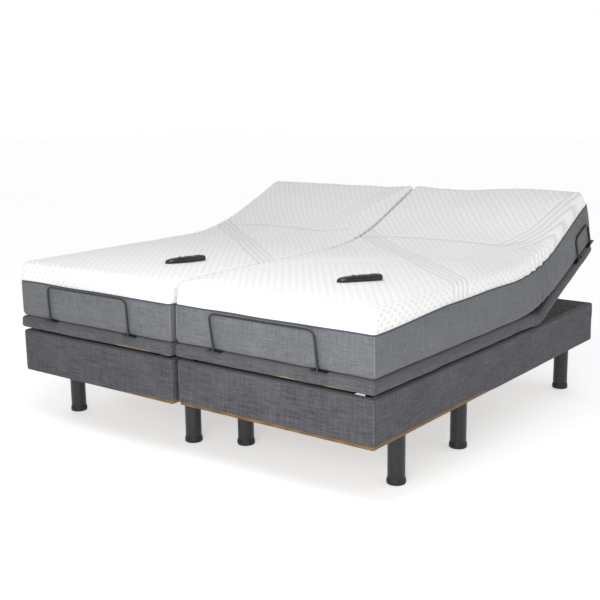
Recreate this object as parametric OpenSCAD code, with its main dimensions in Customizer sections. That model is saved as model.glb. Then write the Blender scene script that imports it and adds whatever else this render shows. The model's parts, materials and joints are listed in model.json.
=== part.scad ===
// Adjustable bed base: two twin units side by side, each with a raised head section,
// a folding leg section, its own mattress and its own handset.
// X runs across the bed, +Y points to the head end, Z = 0 is the floor.

/* [Units] */
// Width of one unit
unit_w = 965; // [900:5:1000]
// Length of one unit
unit_l = 2032; // [1980:2:2100]
// Gap between the two units
unit_gap = 10; // [6:1:30]
// How far the right unit stands behind the left one
unit_stagger = 16; // [0:1:20]

/* [Heights] */
// Length of a leg, floor to box core
leg_h = 238; // [150:1:300]
// Height of the box's wooden core
core_h = 182; // [160:1:200]
// How much of the core shows below the cover
core_show = 8; // [0:1:15]
// Height of the underside of the deck boards
deck_z = 443; // [440:1:450]
// Thickness of the deck boards
board_t = 12; // [9:1:15]
// Height of the deck's upholstered top
pad_top = 498; // [480:1:510]
// Thickness of a mattress
mattress_t = 259; // [150:1:270]
// Height of every section hinge
hinge_z = 428; // [420:1:429]

/* [Sections] */
// Head hinge, from the middle of the unit
head_y = 377; // [340:1:400]
// Thigh hinge, from the middle of the unit
thigh_y = -60; // [-90:1:-40]
// Knee hinge, from the middle of the unit
knee_y = -440; // [-470:1:-420]
// Angle of the head sections as they stand
head_rest = 24; // [0:1:60]
// Largest angle of a head section
head_max = 60; // [50:1:60]
// Largest angle of a thigh section
thigh_max = 35; // [30:1:35]

/* [Box] */
// Thickness of the box boards
core_t = 18; // [15:1:25]
// Thickness of the upholstered cover
cover_t = 10; // [6:1:12]
// Corner radius of the cover
cover_r = 22; // [15:1:30]
// Radius of the headboard bolt holes
bolt_r = 4.5; // [4:0.5:6]
// Distance between the headboard bolt holes across the bed
bolt_x = 600; // [400:10:700]
// Distance between the headboard bolt holes in height
bolt_z = 60; // [40:5:80]

/* [Legs] */
// Diameter of a leg
leg_d = 70; // [50:1:80]
// Largest diameter of a leg's foot
foot_d = 77; // [60:1:90]
// Height of a leg's foot
foot_h = 30; // [20:1:40]
// Distance of the legs from the middle of the unit
leg_x = 382; // [340:1:390]
// Foot end legs of the left unit
left_leg_y = -795; // [-850:1:-680]
// Foot end legs of the right unit
right_leg_y = -706; // [-850:1:-680]
// Middle legs
mid_leg_y = -212; // [-300:1:-150]
// Head end legs
head_leg_y = 865; // [750:1:880]

/* [Retainer bars] */
// Diameter of the bar
bar_d = 10; // [6:1:12]
// Bend radius of the bar's corners
bar_r = 30; // [15:1:40]
// Width of the foot bar
foot_bar_w = 508; // [300:1:600]
// Height of the foot bar's top
foot_bar_z = 655; // [600:1:700]
// Width of the side bar on the head section
side_bar_w = 152; // [100:1:200]
// Height of the side bar's top when the head is flat
side_bar_z = 615; // [560:1:650]
// Middle of the side bar along the unit
side_bar_y = 920; // [860:1:925]
// How far both foot bars stand to the left of the units' middles
foot_bar_shift = 12; // [0:1:20]
// Lean of the left foot bar, away from its mattress
left_bar_lean = 3; // [0:1:10]
// Lean of the right foot bar, away from its mattress
right_bar_lean = 8; // [0:1:10]

/* [Drives] */
// Distance of each drive from the middle of the unit
drive_x = 100; // [60:1:150]
// Length of a drive lever
lever_r = 100; // [90:1:110]
// Height of the pivot that a drive turns on
drive_z = 345; // [330:1:350]
// Diameter of a drive rod
rod_d = 20; // [16:1:24]

/* [Handset] */
// Length of a handset
handset_l = 186; // [160:1:220]
// Width of a handset
handset_w = 44; // [36:1:50]
// Thickness of a handset
handset_t = 26; // [14:1:30]

/* [Hidden] */
$fn = 48;

left = -1;
right = 1;
half_l = unit_l / 2;
half_w = unit_w / 2;
mattress_w = unit_w - 2;
core_x = half_w - cover_t;
core_y = half_l - cover_t;
core_top = leg_h + core_h;
box_top = core_top + 8;
// The foot bars stand and lean in front of the deck, so both units move back by half as much
bar_out = 5;
bar_y = -(half_l + bar_out);
unit_x = (unit_w + unit_gap) / 2;
unit_back = (bar_out + bar_d / 2 + (foot_bar_z - pad_top) * sin(left_bar_lean)) / 2;
side_bar_out = bar_out + 1;

// Flat plates under the retainer bars' ends, held between pad and mattress
plate_w = 72;
plate_in = 50;
plate_t = 3;
plate_gap = 0.1;

// Steel mechanism
tube_t = 2.5;
rail_x = 420;
rail_w = 25;
rail_z = 385;
rail_top = 440;
rail_foot_y = -960;
rail_head_y = 515;
frame_z = 423;
frame_t = 20;
head_tube_x = 386;
foot_tube_x = 360;
member_h = 25;
member_z = leg_h + 8;
drive_tube_z = 388;
drive_tube_h = 26;
head_drive_y = -250;
foot_drive_y = 480;
pin_r = 5;
hinge_pin_r = 6;
run = 0.08;
weld = 0.2;

// Angle of a lever from the +Y direction when everything is flat
head_lever = -130;
thigh_lever = -65;

// Gaps between the boards at the hinges: on each side of the thigh hinge, and before and
// behind the head hinge, where the head board turns down past the seat board
thigh_gap = 14;
seat_gap = 9;
head_gap = 26;

// Wedges left open above the hinges, so that the soft blocks just meet at full lift
head_wedge = head_max / 2 + 1;
thigh_wedge = thigh_max / 2 + 0.8;

// Foot link: pivots on the rails and carries the foot section at its bracket
link_s = 300;
link_run = 281;
link_z = hinge_z - 40;
link_pin_z = hinge_z - 20;
link_y = knee_y - link_s + link_run;
link_pin_y = knee_y - link_s;
link_angle = atan((link_pin_z - link_z) / link_run);
link_l = norm([link_run, link_pin_z - link_z]);

function lever_tip(hinge_y, angle) =
    [hinge_y + lever_r * cos(angle), hinge_z + lever_r * sin(angle)];
head_tip = lever_tip(head_y, head_lever + head_rest);
thigh_tip = lever_tip(thigh_y, thigh_lever);
head_drive_l = norm(head_tip - [head_drive_y, drive_z]);
foot_drive_l = norm(thigh_tip - [foot_drive_y, drive_z]);
head_drive_a = atan2(head_tip[1] - drive_z, head_tip[0] - head_drive_y);
foot_drive_a = atan2(thigh_tip[1] - drive_z, foot_drive_y - thigh_tip[0]);

// ---- placing ----

module unit(side) {
    translate([side * unit_x, side * unit_stagger / 2 + unit_back, 0])
        scale_side(side) children();
}

module scale_side(side) {
    if (side == left) mirror([1, 0, 0]) children();
    else children();
}

module both() {
    unit(left) children();
    unit(right) children();
}

module mirrored_x() {
    children();
    mirror([1, 0, 0]) children();
}

// Turns a head part from flat to its resting angle
module raised_head() {
    translate([0, head_y, hinge_z])
        rotate([head_rest, 0, 0])
            translate([0, -head_y, -hinge_z]) children();
}

// ---- shapes ----

// A block given by its lowest and highest corners
module block(low, high) {
    translate(low) cube(high - low);
}

// A rectangular tube, open at both ends, along axis 0 (X) or 1 (Y)
module box_tube(low, high, axis) {
    inset = axis == 0 ? [-1, tube_t, tube_t] : [tube_t, -1, tube_t];
    difference() {
        block(low, high);
        block(low + inset, high - inset);
    }
}

// A cylinder along X from x0 to x1, centred on y and z
module x_rod(x0, x1, y, z, r) {
    translate([x0, y, z]) rotate([0, 90, 0]) cylinder(r = r, h = x1 - x0);
}

// A side outline in Y and Z, drawn out along X
module side_profile(points, width) {
    translate([-width / 2, 0, 0])
        rotate([90, 0, 90])
            linear_extrude(width) polygon(points);
}

// Slab between two ends, each leaning away from its hinge by an angle
module wedged_slab(y0, y1, z0, z1, a0, a1, width) {
    low = z0 - hinge_z;
    high = z1 - hinge_z;
    side_profile([
        [y0 + low * tan(a0), z0], [y1 - low * tan(a1), z0],
        [y1 - high * tan(a1), z1], [y0 + high * tan(a0), z1]], width);
}

module rounded_square(w, l, r) {
    square([w - 2 * r, l], center = true);
    square([w, l - 2 * r], center = true);
    for (x = [-1, 1], y = [-1, 1])
        translate([x * (w / 2 - r), y * (l / 2 - r)]) circle(r);
}

// ---- box, legs and fixed steel ----

function leg_rows(side) =
    [side == left ? left_leg_y : right_leg_y, mid_leg_y, head_leg_y];

module at_legs(side) {
    unit(side)
        for (y = leg_rows(side), x = [-leg_x, leg_x])
            translate([x, y, 0]) children();
}

module one_leg() {
    ring_z = leg_h - 70;
    rotate_extrude()
        polygon([
            [0, foot_h], [leg_d / 2, foot_h], [leg_d / 2, ring_z], [leg_d / 2 - 1, ring_z],
            [leg_d / 2 - 1, ring_z + 2], [leg_d / 2, ring_z + 2], [leg_d / 2, leg_h],
            [pin_r, leg_h], [pin_r, leg_h + 24], [0, leg_h + 24]]);
}

module one_foot() {
    round_r = 6;
    rotate_extrude() {
        polygon([
            [0, 0], [foot_d / 2 - round_r, 0], [foot_d / 2, round_r],
            [foot_d / 2, foot_h - 14], [leg_d / 2, foot_h], [0, foot_h]]);
        translate([foot_d / 2 - round_r, round_r]) circle(round_r);
    }
}

module legs() {
    color("#26282a") {
        at_legs(left) one_leg();
        at_legs(right) one_leg();
    }
}

module leg_feet() {
    color("#1f2123") {
        at_legs(left) one_foot();
        at_legs(right) one_foot();
    }
}

// Steel tube across the box at each row of legs, with a plate over each leg
module cross_member() {
    reach = core_x - core_t;
    plate = 55;
    difference() {
        union() {
            box_tube([-reach, -20, member_z], [reach, 20, member_z + member_h], 0);
            for (x = [-leg_x, leg_x])
                block([x - plate, -plate, leg_h], [x + plate, plate, member_z - weld]);
        }
        for (x = [-leg_x, leg_x])
            translate([x, 0, leg_h - 1])
                cylinder(r = pin_r + run, h = member_h + 10);
    }
}

module cross_members() {
    color("#303234")
        for (side = [left, right])
            unit(side)
                for (y = leg_rows(side)) translate([0, y, 0]) cross_member();
}

module rail_posts() {
    color("#303234")
        for (side = [left, right])
            unit(side)
                for (y = leg_rows(side), x = [-rail_x, rail_x]) if (y < rail_head_y)
                    block([x - 12, y - 15, member_z + member_h + weld],
                        [x + 12, y + 15, rail_z - weld]);
}

// Side rail with the plates that hold the hinge pins and the foot link
module side_rail() {
    inner = rail_x - rail_w / 2;
    plate = 6;
    difference() {
        union() {
            box_tube([inner, rail_foot_y, rail_z], [rail_x + rail_w / 2, rail_head_y, rail_top], 1);
            for (y = [head_y, thigh_y])
                x_rod(inner - plate, inner + 1, y, hinge_z, 14);
            x_rod(inner - plate, inner + 1, link_y, link_z, 18);
            for (y = [thigh_y + 60, (thigh_y + head_y) / 2, head_y - 60])
                block([inner, y - 30, rail_top - 1], [rail_x + rail_w / 2, y + 30, deck_z]);
        }
        for (y = [head_y, thigh_y])
            x_rod(inner - plate - 1, inner + tube_t, y, hinge_z, hinge_pin_r + run / 2);
        x_rod(inner - plate - 1, inner, link_y, link_z, 10 + run);
    }
}

module side_rails() {
    color("#2a2c2e") both() mirrored_x() side_rail();
}

module hinge_pins() {
    inner = rail_x - rail_w / 2;
    color("#b9bcc0") both() {
        mirrored_x()
            for (y = [head_y, thigh_y])
                x_rod(head_tube_x - 10, inner + tube_t, y, hinge_z, hinge_pin_r);
        x_rod(drive_x - 17, drive_x + 17, head_drive_y, drive_z, pin_r);
        x_rod(-drive_x - 17, -drive_x + 17, foot_drive_y, drive_z, pin_r);
    }
}

// Cross tube that carries the pivot of one drive between two ears
module drive_tube(x, y) {
    reach = rail_x - rail_w / 2 - weld;
    ear_r = 14;
    box_tube([-reach, y - 15, drive_tube_z], [reach, y + 15, drive_tube_z + drive_tube_h], 0);
    for (ear = [x - 14, x + 8])
        difference() {
            union() {
                x_rod(ear, ear + 6, y, drive_z, ear_r);
                block([ear, y - ear_r, drive_z], [ear + 6, y + ear_r, drive_tube_z - weld]);
            }
            x_rod(ear - 1, ear + 7, y, drive_z, pin_r + run / 2);
        }
}

module drive_tubes() {
    color("#303234") both() {
        drive_tube(drive_x, head_drive_y);
        drive_tube(-drive_x, foot_drive_y);
    }
}

module headboard_holes() {
    for (x = [-bolt_x / 2, bolt_x / 2], z = [-bolt_z / 2, bolt_z / 2])
        translate([x, half_l + 1, leg_h + core_h / 2 + z])
            rotate([90, 0, 0]) cylinder(r = bolt_r, h = 60);
}

module box_boards() {
    side_y = core_y - core_t;
    color("#8a6238") both() difference() {
        union() {
            for (y = [-1, 1])
                translate([0, y * (core_y - core_t / 2), leg_h + core_h / 2])
                    cube([2 * core_x, core_t, core_h], center = true);
            for (x = [-1, 1])
                translate([x * (core_x - core_t / 2), 0, leg_h + core_h / 2])
                    cube([core_t, 2 * (side_y - weld), core_h], center = true);
        }
        headboard_holes();
    }
}

module box_covers() {
    bottom = leg_h + core_show;
    color("#55555a") both() difference() {
        translate([0, 0, bottom])
            linear_extrude(box_top - bottom) rounded_square(unit_w, unit_l, cover_r);
        block([-core_x, -core_y, bottom - 1], [core_x, core_y, core_top]);
        block([-core_x + core_t, -core_y + core_t, core_top - 1],
            [core_x - core_t, core_y - core_t, box_top + 1]);
        headboard_holes();
    }
}

// Flat straps screwed under both boxes, which keep the two units together
module unit_straps() {
    reach = unit_gap / 2 + cover_t + core_t;
    color("#9a9da1")
        for (y = [-600, 600])
            difference() {
                block([-reach, y - 20, leg_h - 4], [reach, y + 20, leg_h]);
                for (x = [-1, 1])
                    translate([x * (reach - core_t / 2), y, leg_h - 5]) cylinder(r = 3, h = 6);
            }
}

// ---- deck sections ----

module seat_boards() {
    color("#a9783f") both()
        block([-core_x, thigh_y + thigh_gap, deck_z], [core_x, head_y - seat_gap, deck_z + board_t]);
}

module seat_pads() {
    color("#5a5a5f") both()
        wedged_slab(thigh_y, head_y, deck_z + board_t, pad_top, thigh_wedge, head_wedge, unit_w);
}

module seat_mattresses() {
    color("#f1f1ef") both() wedged_slab(thigh_y, head_y, pad_top, pad_top + mattress_t,
        thigh_wedge, head_wedge, mattress_w);
}

module head_board(side) {
    color("#a9783f") unit(side) raised_head()
        block([-core_x, head_y + head_gap, deck_z], [core_x, core_y, deck_z + board_t]);
}

module head_pad(side) {
    color("#5a5a5f") unit(side) raised_head() difference() {
        wedged_slab(head_y, half_l, deck_z + board_t, pad_top, head_wedge, 0, unit_w);
        at_side_bar() bar_plates(side_bar_w, side_bar_out, plate_gap);
    }
}

module head_mattress(side) {
    color("#f1f1ef") unit(side) raised_head()
        wedged_slab(head_y, half_l + 4, pad_top, pad_top + mattress_t,
            head_wedge, 0, mattress_w);
}

module thigh_board(side) {
    color("#a9783f") unit(side)
        block([-core_x, knee_y + 2, deck_z], [core_x, thigh_y - thigh_gap, deck_z + board_t]);
}

module thigh_pad(side) {
    color("#5a5a5f") unit(side) wedged_slab(knee_y + 0.5, thigh_y,
        deck_z + board_t, pad_top, 0, thigh_wedge, unit_w);
}

module thigh_mattress(side) {
    color("#f1f1ef") unit(side) wedged_slab(knee_y + 0.5, thigh_y,
        pad_top, pad_top + mattress_t, 0, thigh_wedge, mattress_w);
}

module foot_board(side) {
    color("#a9783f") unit(side)
        block([-core_x, -core_y, deck_z], [core_x, knee_y - 2, deck_z + board_t]);
}

module foot_pad(side) {
    color("#5a5a5f") unit(side) difference() {
        block([-half_w, -half_l, deck_z + board_t], [half_w, knee_y - 0.5, pad_top]);
        at_foot_bar(side) bar_plates(foot_bar_w, bar_out, plate_gap);
    }
}

module foot_mattress(side) {
    color("#f1f1ef") unit(side)
        block([-mattress_w / 2, -half_l + 6, pad_top],
            [mattress_w / 2, knee_y - 0.5, pad_top + mattress_t]);
}

// ---- moving steel ----

// Tube along Y with a bored barrel at the hinge it turns on
module section_tube(x, y0, y1, hinge, pin) {
    half = frame_t / 2;
    top = frame_z + frame_t;
    difference() {
        union() {
            box_tube([x - half, y0, frame_z], [x + half, y1, top], 1);
            x_rod(x - half, x + half, hinge, hinge_z, 14);
        }
        x_rod(x - half - 1, x + half + 1, hinge, hinge_z, pin);
    }
}

module cross_tube(x, y) {
    reach = x - frame_t / 2 - weld;
    box_tube([-reach, y - 10, frame_z], [reach, y + 10, frame_z + frame_t], 0);
}

module head_frame(side) {
    tube_y = head_y + 60;
    color("#2a2c2e") unit(side) raised_head() {
        mirrored_x()
            section_tube(head_tube_x, head_y, core_y - 20, head_y, hinge_pin_r + run);
        for (y = [tube_y, core_y - 40])
            cross_tube(head_tube_x, y);
        lever_plates(drive_x, head_y, tube_y, head_lever, 4, 18);
    }
}

// Round-ended plates from the cross tube down to the rod's pin
module lever_plates(x, hinge_y, tube_y, angle, slot_in, slot_out) {
    tip = lever_tip(hinge_y, angle);
    root = [tube_y, frame_z - 14 - weld];
    along = tip - root;
    reach = norm(along);
    turn = atan2(along[1], along[0]);
    wide = 14;
    for (plate = [x - 19, x + 13])
        translate([plate, 0, 0]) rotate([90, 0, 90]) linear_extrude(6)
            difference() {
                union() {
                    translate(root) rotate(turn) translate([0, -wide]) square([reach, 2 * wide]);
                    translate(root) square([2 * wide, 2 * wide], center = true);
                    translate(tip) rotate(angle) lever_end(slot_in, slot_out, 19);
                }
                translate(tip) rotate(angle) lever_end(slot_in, slot_out, 8.5);
            }
}

// Slot outline around the lever's tip
module lever_end(slot_in, slot_out, r) {
    translate([-slot_in, -r]) square([slot_in + slot_out, 2 * r]);
    translate([-slot_in, 0]) circle(r);
    translate([slot_out, 0]) circle(r);
}

module thigh_frame(side) {
    tube_y = thigh_y - 60;
    color("#2a2c2e") unit(side) {
        mirrored_x() {
            section_tube(head_tube_x, knee_y, thigh_y, thigh_y, hinge_pin_r + run);
            x_rod(head_tube_x - 10, head_tube_x + 10, knee_y, hinge_z, 14);
            x_rod(foot_tube_x - 12, head_tube_x - 9, knee_y, hinge_z, hinge_pin_r);
        }
        for (y = [tube_y, knee_y + 60])
            cross_tube(head_tube_x, y);
        lever_plates(-drive_x, thigh_y, tube_y, thigh_lever, 6, 6);
    }
}

module foot_frame(side) {
    color("#2a2c2e") unit(side) {
        mirrored_x() {
            section_tube(foot_tube_x, -core_y + 20, knee_y, knee_y, hinge_pin_r + run);
            foot_bracket();
        }
        for (y = [knee_y - 60, link_pin_y, -core_y + 40])
            cross_tube(foot_tube_x, y);
    }
}

// Plate with the long slot that the foot link's pin slides in
module foot_bracket() {
    slot = 5;
    translate([318, 0, 0]) rotate([90, 0, 90]) linear_extrude(6)
        difference() {
            translate([link_pin_y - 24, link_pin_z - 14])
                square([48, frame_z - link_pin_z + 14 - weld]);
            for (y = [-slot, slot])
                translate([link_pin_y + y, link_pin_z]) circle(7);
            translate([link_pin_y - slot, link_pin_z - 7]) square([2 * slot, 14]);
        }
}

// Torque tube with two arms, each ending in a pin for the foot section
module foot_link(side) {
    reach = rail_x - rail_w / 2 - 0.5;
    color("#3a3d40") unit(side) {
        x_rod(-reach, reach, link_y, link_z, 10);
        mirrored_x() translate([0, link_y, link_z]) rotate([-link_angle, 0, 0]) {
            block([330, -link_l, -9], [336, 0, 9]);
            x_rod(330, 336, 0, 0, 16);
            x_rod(330, 336, -link_l, 0, 9);
            x_rod(314, 331, -link_l, 0, pin_r);
        }
    }
}

// ---- drives ----

// Drawn along +Y from its pivot at the origin
module drive_motor() {
    eye_w = 14;
    difference() {
        union() {
            x_rod(-eye_w / 2, eye_w / 2, 0, 0, 12);
            block([-eye_w / 2, 0, -12], [eye_w / 2, 26, 12]);
            translate([0, 75, -6]) rounded_block(72, 100, 68, 12);
            block([-21, 120, -21], [21, 380, 21]);
            x_rod(-110, -30, 62, -6, 27);
        }
        x_rod(-eye_w, eye_w, 0, 0, pin_r + run);
        translate([0, 130, 0]) rotate([-90, 0, 0]) cylinder(r = rod_d / 2 + 0.1, h = 300);
    }
}

module rounded_block(w, l, h, r) {
    translate([0, 0, -h / 2]) linear_extrude(h) rounded_square(w, l, r);
}

// Rod with the cross pin that works in the lever's slot
module drive_rod(reach) {
    translate([0, 200, 0]) rotate([-90, 0, 0]) cylinder(d = rod_d, h = reach - 204);
    x_rod(-11, 11, reach, 0, 14);
    x_rod(-22, 22, reach, 0, pin_r);
}

module place_head_drive(side) {
    unit(side) translate([drive_x, head_drive_y, drive_z])
        rotate([head_drive_a, 0, 0]) children();
}

module place_foot_drive(side) {
    unit(side) translate([-drive_x, foot_drive_y, drive_z])
        rotate([-foot_drive_a, 0, 0]) mirror([0, 1, 0]) children();
}

module head_motor(side) {
    color("#1d1f21") place_head_drive(side) drive_motor();
}

module head_rod(side) {
    color("#c3c6ca") place_head_drive(side) drive_rod(head_drive_l);
}

module foot_motor(side) {
    color("#1d1f21") place_foot_drive(side) drive_motor();
}

module foot_rod(side) {
    color("#c3c6ca") place_foot_drive(side) drive_rod(foot_drive_l);
}

// Control box under the seat board, with a recess for its lead
module control_boxes() {
    color("#1d1f21") both() difference() {
        translate([250, 140, deck_z - 26 - weld]) rounded_block(150, 210, 52, 10);
        translate([250, 140 + 100, deck_z - 26]) cube([34, 20, 22], center = true);
    }
}

// ---- retainer bars ----

// Bent bar in the XZ plane, its feet at z0 and its top centre at z1
module bent_bar(w, z0, z1) {
    r = bar_d / 2;
    half = w / 2;
    for (side = [-1, 1]) {
        translate([side * half, 0, z0]) cylinder(r = r, h = z1 - bar_r - z0);
        translate([side * (half - bar_r), 0, z1 - bar_r]) rotate([90, 0, 0])
            rotate([0, 0, side == 1 ? 0 : 90])
                rotate_extrude(angle = 90) translate([bar_r, 0]) circle(r);
    }
    x_rod(-half + bar_r, half - bar_r, 0, z1, r);
}

// The plates, or with some play the pockets for them in the pad
module bar_plates(w, out, play) {
    for (x = [-w / 2, w / 2])
        block([x - plate_w / 2 - play, -bar_d / 2 - play, pad_top - plate_t - 2 * play],
            [x + plate_w / 2 + play, out + plate_in + play, pad_top - plate_gap + 2 * play]);
}

module leaning_bar(w, top, lean) {
    foot_z = pad_top - plate_t / 2;
    translate([0, 0, foot_z]) rotate([lean, 0, 0]) bent_bar(w, 0, top - foot_z);
}

module at_foot_bar(side) {
    translate([-side * foot_bar_shift, bar_y, 0]) children();
}

module at_side_bar() {
    translate([half_w + side_bar_out, side_bar_y, 0]) rotate([0, 0, 90]) children();
}

module foot_retainer(side) {
    color("#232527") unit(side) at_foot_bar(side) {
        leaning_bar(foot_bar_w, foot_bar_z, side == left ? left_bar_lean : right_bar_lean);
        bar_plates(foot_bar_w, bar_out, 0);
    }
}

module head_retainer(side) {
    color("#232527") unit(side) raised_head() at_side_bar() {
        leaning_bar(side_bar_w, side_bar_z, 0);
        bar_plates(side_bar_w, side_bar_out, 0);
    }
}

// ---- handsets ----

// Where each handset lies: middle in the unit's plan, and its turn
handset_top = pad_top + mattress_t;
bend_r = 420;
key_z = handset_t - 11;
key_gap = 0.6;
key_well = 20;

module place_handset(side) {
    spot = side == left ? [225, -646] : [158, -625];
    turn = side == left ? -25 : -37;
    translate([side * unit_x + spot[0], side * unit_stagger / 2 + unit_back + spot[1], handset_top])
        rotate([0, 0, turn]) children();
}

// Places something at a distance along the handset's curved middle line
module along_handset(s) {
    turn = s / bend_r * 180 / PI;
    translate([-bend_r, 0, 0]) rotate([0, 0, turn]) translate([bend_r, 0, 0]) children();
}

module wand_outline(w) {
    span = (handset_l - handset_w) / bend_r * 180 / PI;
    translate([-bend_r, 0]) rotate([0, 0, -span / 2]) difference() {
        intersection() {
            circle(r = bend_r + w / 2, $fn = 180);
            polygon([[0, 0], 2 * bend_r * [1, 0], 2 * bend_r * [cos(span), sin(span)]]);
        }
        circle(r = bend_r - w / 2, $fn = 180);
    }
    for (s = [-1, 1])
        along_handset(s * (handset_l - handset_w) / 2) circle(w / 2);
}

module pill(w, l) {
    square([w, l - w], center = true);
    for (s = [-1, 1]) translate([0, s * (l - w) / 2]) circle(w / 2);
}

// Places and sizes of the two rocker keys and the round flat key
head_key_s = 56;
foot_key_s = 12;
flat_key_s = -26;
rocker_w = 14;
rocker_l = 36;
flat_d = 15;
// Pivot pin of a rocker key
key_pin_z = handset_t - 7;
key_pin_r = 1.2;
key_pin_half = rocker_w / 2 + 2.5;

module handset(side) {
    color("#17181a") place_handset(side) difference() {
        union() {
            linear_extrude(handset_t - 3) wand_outline(handset_w);
            linear_extrude(handset_t) wand_outline(handset_w - 6);
        }
        for (s = [head_key_s, foot_key_s])
            along_handset(s) {
                translate([0, 0, key_z - 2])
                    linear_extrude(key_well) pill(rocker_w + 2 * key_gap, rocker_l + 2 * key_gap);
                x_rod(-key_pin_half - weld, key_pin_half + weld, 0, key_pin_z, key_pin_r + run);
            }
        along_handset(flat_key_s) translate([0, 0, key_z - 2])
            cylinder(d = flat_d + 2 * key_gap, h = key_well);
    }
}

module rocker(side, s) {
    color("#4a4d50") place_handset(side) along_handset(s) {
        translate([0, 0, key_z]) linear_extrude(handset_t + 1.5 - key_z) pill(rocker_w, rocker_l);
        x_rod(-key_pin_half, key_pin_half, 0, key_pin_z, key_pin_r);
    }
}

module flat_key(side) {
    color("#4a4d50") place_handset(side) along_handset(flat_key_s) translate([0, 0, key_z])
        cylinder(d = flat_d, h = handset_t + 1.5 - key_z);
}

legs();
leg_feet();
cross_members();
rail_posts();
side_rails();
drive_tubes();
hinge_pins();
box_boards();
box_covers();
unit_straps();
seat_boards();
seat_pads();
seat_mattresses();
control_boxes();
for (side = [left, right]) {
    tag = side == left ? "_left" : "_right";
    head_board(side);
    head_pad(side);
    head_mattress(side);
    head_frame(side);
    head_retainer(side);
    thigh_board(side);
    thigh_pad(side);
    thigh_mattress(side);
    thigh_frame(side);
    foot_board(side);
    foot_pad(side);
    foot_mattress(side);
    foot_frame(side);
    foot_retainer(side);
    foot_link(side);
    head_motor(side);
    head_rod(side);
    foot_motor(side);
    foot_rod(side);
    handset(side);
    rocker(side, head_key_s);
    rocker(side, foot_key_s);
    flat_key(side);
}
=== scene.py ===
"""Looks of the split adjustable bed base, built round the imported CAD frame."""
import json
import math

import bpy
import numpy as np
from mathutils import Matrix, Vector


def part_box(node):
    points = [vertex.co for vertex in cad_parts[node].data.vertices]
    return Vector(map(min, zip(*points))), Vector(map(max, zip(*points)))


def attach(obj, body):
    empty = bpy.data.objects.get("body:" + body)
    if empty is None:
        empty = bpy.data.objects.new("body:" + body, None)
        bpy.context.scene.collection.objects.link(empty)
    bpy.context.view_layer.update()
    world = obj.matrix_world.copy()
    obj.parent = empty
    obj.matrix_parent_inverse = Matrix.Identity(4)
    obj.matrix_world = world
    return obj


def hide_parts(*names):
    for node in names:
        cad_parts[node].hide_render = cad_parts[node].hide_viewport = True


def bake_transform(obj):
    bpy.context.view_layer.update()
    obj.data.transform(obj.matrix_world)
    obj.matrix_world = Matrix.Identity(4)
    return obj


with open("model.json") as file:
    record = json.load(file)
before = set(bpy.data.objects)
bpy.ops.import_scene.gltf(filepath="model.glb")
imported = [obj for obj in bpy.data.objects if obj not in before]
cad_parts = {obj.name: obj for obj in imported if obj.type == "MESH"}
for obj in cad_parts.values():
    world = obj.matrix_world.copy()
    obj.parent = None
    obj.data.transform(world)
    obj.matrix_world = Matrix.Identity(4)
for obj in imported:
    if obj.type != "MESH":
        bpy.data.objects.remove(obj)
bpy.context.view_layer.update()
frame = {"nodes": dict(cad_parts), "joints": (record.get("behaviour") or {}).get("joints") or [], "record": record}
scene = bpy.context.scene
SIDES = ("left", "right")
JOINTS = {j["name"]: j for j in frame["joints"]}


# ---------------------------------------------------------------- places

class Unit:
    """Where one of the two units stands, read from its joints and nodes."""

    def __init__(self, side):
        self.side = side
        head = Vector(JOINTS["head_lift_" + side]["pos_m"])
        thigh = Vector(JOINTS["leg_lift_" + side]["pos_m"])
        knee = Vector(JOINTS["knee_" + side]["pos_m"])
        low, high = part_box("foot_pad_" + side)
        self.x = head.x
        self.head_y, self.thigh_y, self.knee_y = head.y, thigh.y, knee.y
        self.hinge_z = head.z
        self.foot_y = low.y
        self.half_w = (high.x - low.x) / 2
        self.length = unit_length()
        self.head_end = self.foot_y + self.length
        self.deck_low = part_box("foot_board_" + side)[0].z
        self.deck_top = high.z
        self.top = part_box("foot_mattress_" + side)[1].z
        self.rest = head_rest_angle(side)
        # what tells the two units' folds apart, and which way the other unit lies
        self.seed = 0.0 if side == "left" else 7.3
        self.inward = 1 if side == "left" else -1


def unit_length():
    """Length of one unit: both box covers are the same, and one stands further on."""
    low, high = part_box("box_covers")
    stagger = abs(JOINTS["head_lift_right"]["pos_m"][1] - JOINTS["head_lift_left"]["pos_m"][1])
    return high.y - low.y - stagger


def head_rest_angle(side):
    """Angle of the head section at rest, which its joint's lower limit takes back to flat."""
    return math.radians(-JOINTS["head_lift_" + side]["range_deg"][0])


UNITS = {side: Unit(side) for side in SIDES}


# ---------------------------------------------------------------- mesh helpers

def lattice(xs, ys, zs):
    """Welded quads over the surface of a box, given by its grid lines along each axis.

    Also gives the point number at each crossing of the grid lines."""
    shape = (len(xs), len(ys), len(zs))
    skin = np.zeros(shape, bool)
    skin[[0, -1], :, :] = skin[:, [0, -1], :] = skin[:, :, [0, -1]] = True
    index = np.full(shape, -1)
    index[skin] = np.arange(skin.sum())
    i, j, k = np.nonzero(skin)
    points = np.stack([np.asarray(xs)[i], np.asarray(ys)[j], np.asarray(zs)[k]], 1)

    def quads(grid, flip):
        q = np.stack([grid[:-1, :-1], grid[1:, :-1], grid[1:, 1:], grid[:-1, 1:]], -1)
        q = q.reshape(-1, 4)
        return q[:, ::-1] if flip else q

    faces = [quads(index[:, :, 0], True), quads(index[:, :, -1], False),
             quads(index[:, 0, :], False), quads(index[:, -1, :], True),
             quads(index[0, :, :], True), quads(index[-1, :, :], False)]
    return points, np.concatenate(faces), index


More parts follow.
